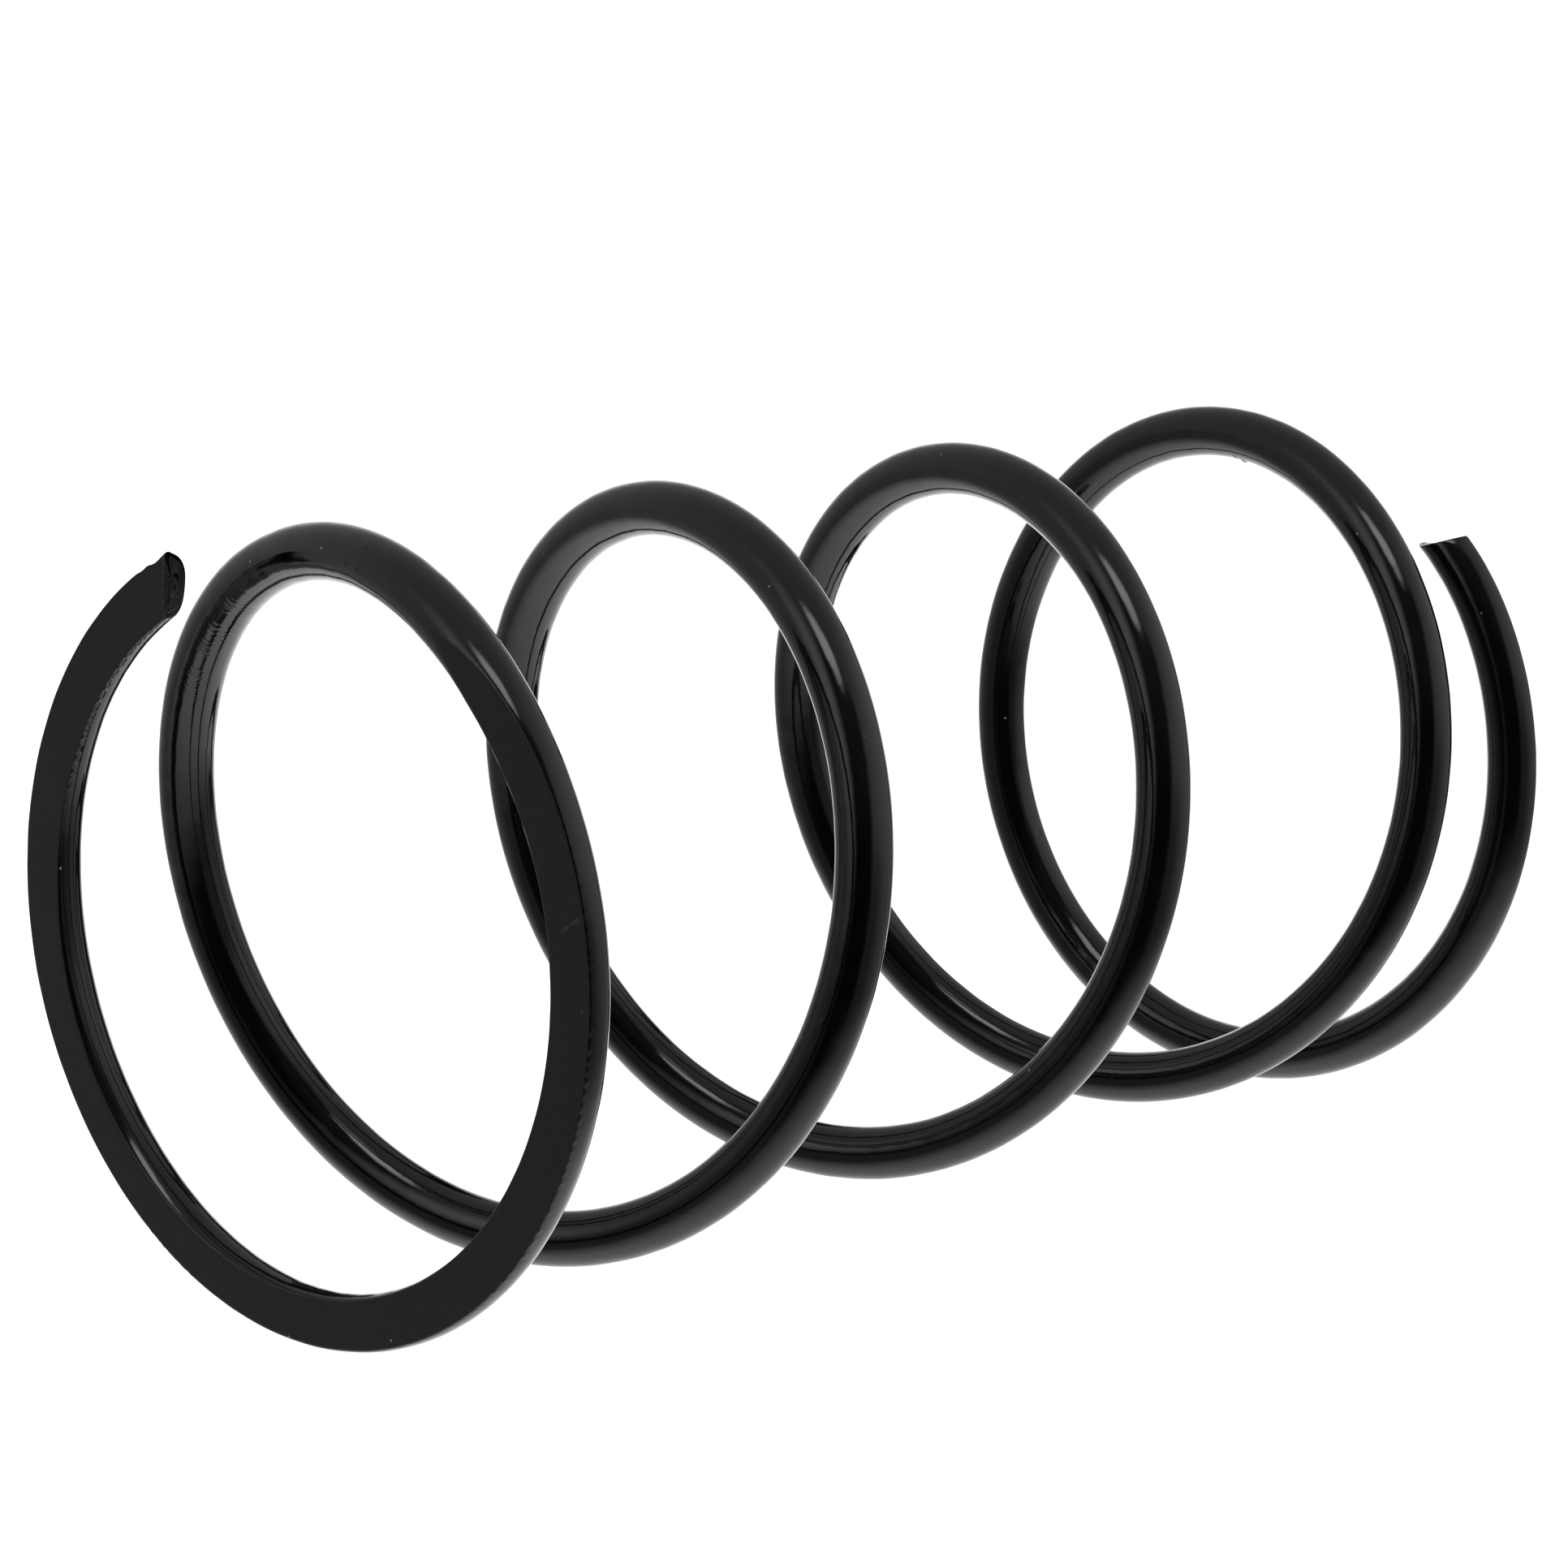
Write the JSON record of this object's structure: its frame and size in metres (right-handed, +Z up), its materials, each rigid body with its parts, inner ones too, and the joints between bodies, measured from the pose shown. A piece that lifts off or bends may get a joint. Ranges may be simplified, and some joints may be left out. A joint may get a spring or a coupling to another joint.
{
  "type": "coil spring",
  "caption": "Open-wound helical compression spring of round wire in gloss black, its two end coils closed and ground flat to stand between spring seats.",
  "frame": {"origin": "centre of the lower seat plane, on the coil axis", "axes": "+Z up the coil axis from the lower seat to the upper seat, +X through the cropped tip of the lower end coil"},
  "size_m": [0.1677, 0.1661, 0.3068],
  "materials": {
    "gloss_black_paint": "gloss"
  },
  "bodies": {
    "lower_end_coil": {"lower_end_coil": "gloss_black_paint"},
    "open_wire_01": {"open_wire_01": "gloss_black_paint"},
    "open_wire_02": {"open_wire_02": "gloss_black_paint"},
    "open_wire_03": {"open_wire_03": "gloss_black_paint"},
    "open_wire_04": {"open_wire_04": "gloss_black_paint"},
    "open_wire_05": {"open_wire_05": "gloss_black_paint"},
    "open_wire_06": {"open_wire_06": "gloss_black_paint"},
    "open_wire_07": {"open_wire_07": "gloss_black_paint"},
    "open_wire_08": {"open_wire_08": "gloss_black_paint"},
    "open_wire_09": {"open_wire_09": "gloss_black_paint"},
    "open_wire_10": {"open_wire_10": "gloss_black_paint"},
    "open_wire_11": {"open_wire_11": "gloss_black_paint"},
    "open_wire_12": {"open_wire_12": "gloss_black_paint"},
    "open_wire_13": {"open_wire_13": "gloss_black_paint"},
    "open_wire_14": {"open_wire_14": "gloss_black_paint"},
    "open_wire_15": {"open_wire_15": "gloss_black_paint"},
    "open_wire_16": {"open_wire_16": "gloss_black_paint"},
    "open_wire_17": {"open_wire_17": "gloss_black_paint"},
    "open_wire_18": {"open_wire_18": "gloss_black_paint"},
    "open_wire_19": {"open_wire_19": "gloss_black_paint"},
    "open_wire_20": {"open_wire_20": "gloss_black_paint"},
    "open_wire_21": {"open_wire_21": "gloss_black_paint"},
    "open_wire_22": {"open_wire_22": "gloss_black_paint"},
    "open_wire_23": {"open_wire_23": "gloss_black_paint"},
    "open_wire_24": {"open_wire_24": "gloss_black_paint"},
    "open_wire_25": {"open_wire_25": "gloss_black_paint"},
    "open_wire_26": {"open_wire_26": "gloss_black_paint"},
    "open_wire_27": {"open_wire_27": "gloss_black_paint"},
    "open_wire_28": {"open_wire_28": "gloss_black_paint"},
    "open_wire_29": {"open_wire_29": "gloss_black_paint"},
    "open_wire_30": {"open_wire_30": "gloss_black_paint"},
    "open_wire_31": {"open_wire_31": "gloss_black_paint"},
    "open_wire_32": {"open_wire_32": "gloss_black_paint"},
    "open_wire_33": {"open_wire_33": "gloss_black_paint"},
    "open_wire_34": {"open_wire_34": "gloss_black_paint"},
    "open_wire_35": {"open_wire_35": "gloss_black_paint"},
    "open_wire_36": {"open_wire_36": "gloss_black_paint"},
    "open_wire_37": {"open_wire_37": "gloss_black_paint"},
    "open_wire_38": {"open_wire_38": "gloss_black_paint"},
    "open_wire_39": {"open_wire_39": "gloss_black_paint"},
    "open_wire_40": {"open_wire_40": "gloss_black_paint"},
    "open_wire_41": {"open_wire_41": "gloss_black_paint"},
    "open_wire_42": {"open_wire_42": "gloss_black_paint"},
    "open_wire_43": {"open_wire_43": "gloss_black_paint"},
    "open_wire_44": {"open_wire_44": "gloss_black_paint"},
    "open_wire_45": {"open_wire_45": "gloss_black_paint"},
    "open_wire_46": {"open_wire_46": "gloss_black_paint"},
    "open_wire_47": {"open_wire_47": "gloss_black_paint"},
    "open_wire_48": {"open_wire_48": "gloss_black_paint"},
    "open_wire_49": {"open_wire_49": "gloss_black_paint"},
    "open_wire_50": {"open_wire_50": "gloss_black_paint"},
    "open_wire_51": {"open_wire_51": "gloss_black_paint"},
    "open_wire_52": {"open_wire_52": "gloss_black_paint"},
    "open_wire_53": {"open_wire_53": "gloss_black_paint"},
    "open_wire_54": {"open_wire_54": "gloss_black_paint"},
    "open_wire_55": {"open_wire_55": "gloss_black_paint"},
    "open_wire_56": {"open_wire_56": "gloss_black_paint"},
    "upper_end_coil": {"upper_end_coil": "gloss_black_paint"}
  },
  "joints": [
    {"name": "compression", "type": "slide", "parent": "lower_end_coil", "child": "upper_end_coil", "axis": [0, 0, 1], "range_m": [-0.224, 0], "stiffness_N_per_m": 17900},
    {"name": "closing_01", "type": "slide", "parent": "lower_end_coil", "child": "open_wire_01", "axis": [0, 0, 1], "range_m": [-0.004, 0]},
    {"name": "closing_02", "type": "slide", "parent": "open_wire_01", "child": "open_wire_02", "axis": [0, 0, 1], "range_m": [-0.004, 0]},
    {"name": "closing_03", "type": "slide", "parent": "open_wire_02", "child": "open_wire_03", "axis": [0, 0, 1], "range_m": [-0.004, 0]},
    {"name": "closing_04", "type": "slide", "parent": "open_wire_03", "child": "open_wire_04", "axis": [0, 0, 1], "range_m": [-0.004, 0]},
    {"name": "closing_05", "type": "slide", "parent": "open_wire_04", "child": "open_wire_05", "axis": [0, 0, 1], "range_m": [-0.004, 0]},
    {"name": "closing_06", "type": "slide", "parent": "open_wire_05", "child": "open_wire_06", "axis": [0, 0, 1], "range_m": [-0.004, 0]},
    {"name": "closing_07", "type": "slide", "parent": "open_wire_06", "child": "open_wire_07", "axis": [0, 0, 1], "range_m": [-0.004, 0]},
    {"name": "closing_08", "type": "slide", "parent": "open_wire_07", "child": "open_wire_08", "axis": [0, 0, 1], "range_m": [-0.004, 0]},
    {"name": "closing_09", "type": "slide", "parent": "open_wire_08", "child": "open_wire_09", "axis": [0, 0, 1], "range_m": [-0.004, 0]},
    {"name": "closing_10", "type": "slide", "parent": "open_wire_09", "child": "open_wire_10", "axis": [0, 0, 1], "range_m": [-0.004, 0]},
    {"name": "closing_11", "type": "slide", "parent": "open_wire_10", "child": "open_wire_11", "axis": [0, 0, 1], "range_m": [-0.004, 0]},
    {"name": "closing_12", "type": "slide", "parent": "open_wire_11", "child": "open_wire_12", "axis": [0, 0, 1], "range_m": [-0.004, 0]},
    {"name": "closing_13", "type": "slide", "parent": "open_wire_12", "child": "open_wire_13", "axis": [0, 0, 1], "range_m": [-0.004, 0]},
    {"name": "closing_14", "type": "slide", "parent": "open_wire_13", "child": "open_wire_14", "axis": [0, 0, 1], "range_m": [-0.004, 0]},
    {"name": "closing_15", "type": "slide", "parent": "open_wire_14", "child": "open_wire_15", "axis": [0, 0, 1], "range_m": [-0.004, 0]},
    {"name": "closing_16", "type": "slide", "parent": "open_wire_15", "child": "open_wire_16", "axis": [0, 0, 1], "range_m": [-0.004, 0]},
    {"name": "closing_17", "type": "slide", "parent": "open_wire_16", "child": "open_wire_17", "axis": [0, 0, 1], "range_m": [-0.004, 0]},
    {"name": "closing_18", "type": "slide", "parent": "open_wire_17", "child": "open_wire_18", "axis": [0, 0, 1], "range_m": [-0.004, 0]},
    {"name": "closing_19", "type": "slide", "parent": "open_wire_18", "child": "open_wire_19", "axis": [0, 0, 1], "range_m": [-0.004, 0]},
    {"name": "closing_20", "type": "slide", "parent": "open_wire_19", "child": "open_wire_20", "axis": [0, 0, 1], "range_m": [-0.004, 0]},
    {"name": "closing_21", "type": "slide", "parent": "open_wire_20", "child": "open_wire_21", "axis": [0, 0, 1], "range_m": [-0.004, 0]},
    {"name": "closing_22", "type": "slide", "parent": "open_wire_21", "child": "open_wire_22", "axis": [0, 0, 1], "range_m": [-0.004, 0]},
    {"name": "closing_23", "type": "slide", "parent": "open_wire_22", "child": "open_wire_23", "axis": [0, 0, 1], "range_m": [-0.004, 0]},
    {"name": "closing_24", "type": "slide", "parent": "open_wire_23", "child": "open_wire_24", "axis": [0, 0, 1], "range_m": [-0.004, 0]},
    {"name": "closing_25", "type": "slide", "parent": "open_wire_24", "child": "open_wire_25", "axis": [0, 0, 1], "range_m": [-0.004, 0]},
    {"name": "closing_26", "type": "slide", "parent": "open_wire_25", "child": "open_wire_26", "axis": [0, 0, 1], "range_m": [-0.004, 0]},
    {"name": "closing_27", "type": "slide", "parent": "open_wire_26", "child": "open_wire_27", "axis": [0, 0, 1], "range_m": [-0.004, 0]},
    {"name": "closing_28", "type": "slide", "parent": "open_wire_27", "child": "open_wire_28", "axis": [0, 0, 1], "range_m": [-0.004, 0]},
    {"name": "closing_29", "type": "slide", "parent": "open_wire_28", "child": "open_wire_29", "axis": [0, 0, 1], "range_m": [-0.004, 0]},
    {"name": "closing_30", "type": "slide", "parent": "open_wire_29", "child": "open_wire_30", "axis": [0, 0, 1], "range_m": [-0.004, 0]},
    {"name": "closing_31", "type": "slide", "parent": "open_wire_30", "child": "open_wire_31", "axis": [0, 0, 1], "range_m": [-0.004, 0]},
    {"name": "closing_32", "type": "slide", "parent": "open_wire_31", "child": "open_wire_32", "axis": [0, 0, 1], "range_m": [-0.004, 0]},
    {"name": "closing_33", "type": "slide", "parent": "open_wire_32", "child": "open_wire_33", "axis": [0, 0, 1], "range_m": [-0.004, 0]},
    {"name": "closing_34", "type": "slide", "parent": "open_wire_33", "child": "open_wire_34", "axis": [0, 0, 1], "range_m": [-0.004, 0]},
    {"name": "closing_35", "type": "slide", "parent": "open_wire_34", "child": "open_wire_35", "axis": [0, 0, 1], "range_m": [-0.004, 0]},
    {"name": "closing_36", "type": "slide", "parent": "open_wire_35", "child": "open_wire_36", "axis": [0, 0, 1], "range_m": [-0.004, 0]},
    {"name": "closing_37", "type": "slide", "parent": "open_wire_36", "child": "open_wire_37", "axis": [0, 0, 1], "range_m": [-0.004, 0]},
    {"name": "closing_38", "type": "slide", "parent": "open_wire_37", "child": "open_wire_38", "axis": [0, 0, 1], "range_m": [-0.004, 0]},
    {"name": "closing_39", "type": "slide", "parent": "open_wire_38", "child": "open_wire_39", "axis": [0, 0, 1], "range_m": [-0.004, 0]},
    {"name": "closing_40", "type": "slide", "parent": "open_wire_39", "child": "open_wire_40", "axis": [0, 0, 1], "range_m": [-0.004, 0]},
    {"name": "closing_41", "type": "slide", "parent": "open_wire_40", "child": "open_wire_41", "axis": [0, 0, 1], "range_m": [-0.004, 0]},
    {"name": "closing_42", "type": "slide", "parent": "open_wire_41", "child": "open_wire_42", "axis": [0, 0, 1], "range_m": [-0.004, 0]},
    {"name": "closing_43", "type": "slide", "parent": "open_wire_42", "child": "open_wire_43", "axis": [0, 0, 1], "range_m": [-0.004, 0]},
    {"name": "closing_44", "type": "slide", "parent": "open_wire_43", "child": "open_wire_44", "axis": [0, 0, 1], "range_m": [-0.004, 0]},
    {"name": "closing_45", "type": "slide", "parent": "open_wire_44", "child": "open_wire_45", "axis": [0, 0, 1], "range_m": [-0.004, 0]},
    {"name": "closing_46", "type": "slide", "parent": "open_wire_45", "child": "open_wire_46", "axis": [0, 0, 1], "range_m": [-0.004, 0]},
    {"name": "closing_47", "type": "slide", "parent": "open_wire_46", "child": "open_wire_47", "axis": [0, 0, 1], "range_m": [-0.004, 0]},
    {"name": "closing_48", "type": "slide", "parent": "open_wire_47", "child": "open_wire_48", "axis": [0, 0, 1], "range_m": [-0.004, 0]},
    {"name": "closing_49", "type": "slide", "parent": "open_wire_48", "child": "open_wire_49", "axis": [0, 0, 1], "range_m": [-0.004, 0]},
    {"name": "closing_50", "type": "slide", "parent": "open_wire_49", "child": "open_wire_50", "axis": [0, 0, 1], "range_m": [-0.004, 0]},
    {"name": "closing_51", "type": "slide", "parent": "open_wire_50", "child": "open_wire_51", "axis": [0, 0, 1], "range_m": [-0.004, 0]},
    {"name": "closing_52", "type": "slide", "parent": "open_wire_51", "child": "open_wire_52", "axis": [0, 0, 1], "range_m": [-0.004, 0]},
    {"name": "closing_53", "type": "slide", "parent": "open_wire_52", "child": "open_wire_53", "axis": [0, 0, 1], "range_m": [-0.004, 0]},
    {"name": "closing_54", "type": "slide", "parent": "open_wire_53", "child": "open_wire_54", "axis": [0, 0, 1], "range_m": [-0.004, 0]},
    {"name": "closing_55", "type": "slide", "parent": "open_wire_54", "child": "open_wire_55", "axis": [0, 0, 1], "range_m": [-0.004, 0]},
    {"name": "closing_56", "type": "slide", "parent": "open_wire_55", "child": "open_wire_56", "axis": [0, 0, 1], "range_m": [-0.004, 0]}
  ],
  "couplings": [
    {"joint": "closing_01", "follows": "compression", "ratio": 0.017857},
    {"joint": "closing_02", "follows": "compression", "ratio": 0.017857},
    {"joint": "closing_03", "follows": "compression", "ratio": 0.017857},
    {"joint": "closing_04", "follows": "compression", "ratio": 0.017857},
    {"joint": "closing_05", "follows": "compression", "ratio": 0.017857},
    {"joint": "closing_06", "follows": "compression", "ratio": 0.017857},
    {"joint": "closing_07", "follows": "compression", "ratio": 0.017857},
    {"joint": "closing_08", "follows": "compression", "ratio": 0.017857},
    {"joint": "closing_09", "follows": "compression", "ratio": 0.017857},
    {"joint": "closing_10", "follows": "compression", "ratio": 0.017857},
    {"joint": "closing_11", "follows": "compression", "ratio": 0.017857},
    {"joint": "closing_12", "follows": "compression", "ratio": 0.017857},
    {"joint": "closing_13", "follows": "compression", "ratio": 0.017857},
    {"joint": "closing_14", "follows": "compression", "ratio": 0.017857},
    {"joint": "closing_15", "follows": "compression", "ratio": 0.017857},
    {"joint": "closing_16", "follows": "compression", "ratio": 0.017857},
    {"joint": "closing_17", "follows": "compression", "ratio": 0.017857},
    {"joint": "closing_18", "follows": "compression", "ratio": 0.017857},
    {"joint": "closing_19", "follows": "compression", "ratio": 0.017857},
    {"joint": "closing_20", "follows": "compression", "ratio": 0.017857},
    {"joint": "closing_21", "follows": "compression", "ratio": 0.017857},
    {"joint": "closing_22", "follows": "compression", "ratio": 0.017857},
    {"joint": "closing_23", "follows": "compression", "ratio": 0.017857},
    {"joint": "closing_24", "follows": "compression", "ratio": 0.017857},
    {"joint": "closing_25", "follows": "compression", "ratio": 0.017857},
    {"joint": "closing_26", "follows": "compression", "ratio": 0.017857},
    {"joint": "closing_27", "follows": "compression", "ratio": 0.017857},
    {"joint": "closing_28", "follows": "compression", "ratio": 0.017857},
    {"joint": "closing_29", "follows": "compression", "ratio": 0.017857},
    {"joint": "closing_30", "follows": "compression", "ratio": 0.017857},
    {"joint": "closing_31", "follows": "compression", "ratio": 0.017857},
    {"joint": "closing_32", "follows": "compression", "ratio": 0.017857},
    {"joint": "closing_33", "follows": "compression", "ratio": 0.017857},
    {"joint": "closing_34", "follows": "compression", "ratio": 0.017857},
    {"joint": "closing_35", "follows": "compression", "ratio": 0.017857},
    {"joint": "closing_36", "follows": "compression", "ratio": 0.017857},
    {"joint": "closing_37", "follows": "compression", "ratio": 0.017857},
    {"joint": "closing_38", "follows": "compression", "ratio": 0.017857},
    {"joint": "closing_39", "follows": "compression", "ratio": 0.017857},
    {"joint": "closing_40", "follows": "compression", "ratio": 0.017857},
    {"joint": "closing_41", "follows": "compression", "ratio": 0.017857},
    {"joint": "closing_42", "follows": "compression", "ratio": 0.017857},
    {"joint": "closing_43", "follows": "compression", "ratio": 0.017857},
    {"joint": "closing_44", "follows": "compression", "ratio": 0.017857},
    {"joint": "closing_45", "follows": "compression", "ratio": 0.017857},
    {"joint": "closing_46", "follows": "compression", "ratio": 0.017857},
    {"joint": "closing_47", "follows": "compression", "ratio": 0.017857},
    {"joint": "closing_48", "follows": "compression", "ratio": 0.017857},
    {"joint": "closing_49", "follows": "compression", "ratio": 0.017857},
    {"joint": "closing_50", "follows": "compression", "ratio": 0.017857},
    {"joint": "closing_51", "follows": "compression", "ratio": 0.017857},
    {"joint": "closing_52", "follows": "compression", "ratio": 0.017857},
    {"joint": "closing_53", "follows": "compression", "ratio": 0.017857},
    {"joint": "closing_54", "follows": "compression", "ratio": 0.017857},
    {"joint": "closing_55", "follows": "compression", "ratio": 0.017857},
    {"joint": "closing_56", "follows": "compression", "ratio": 0.017857}
  ]
}
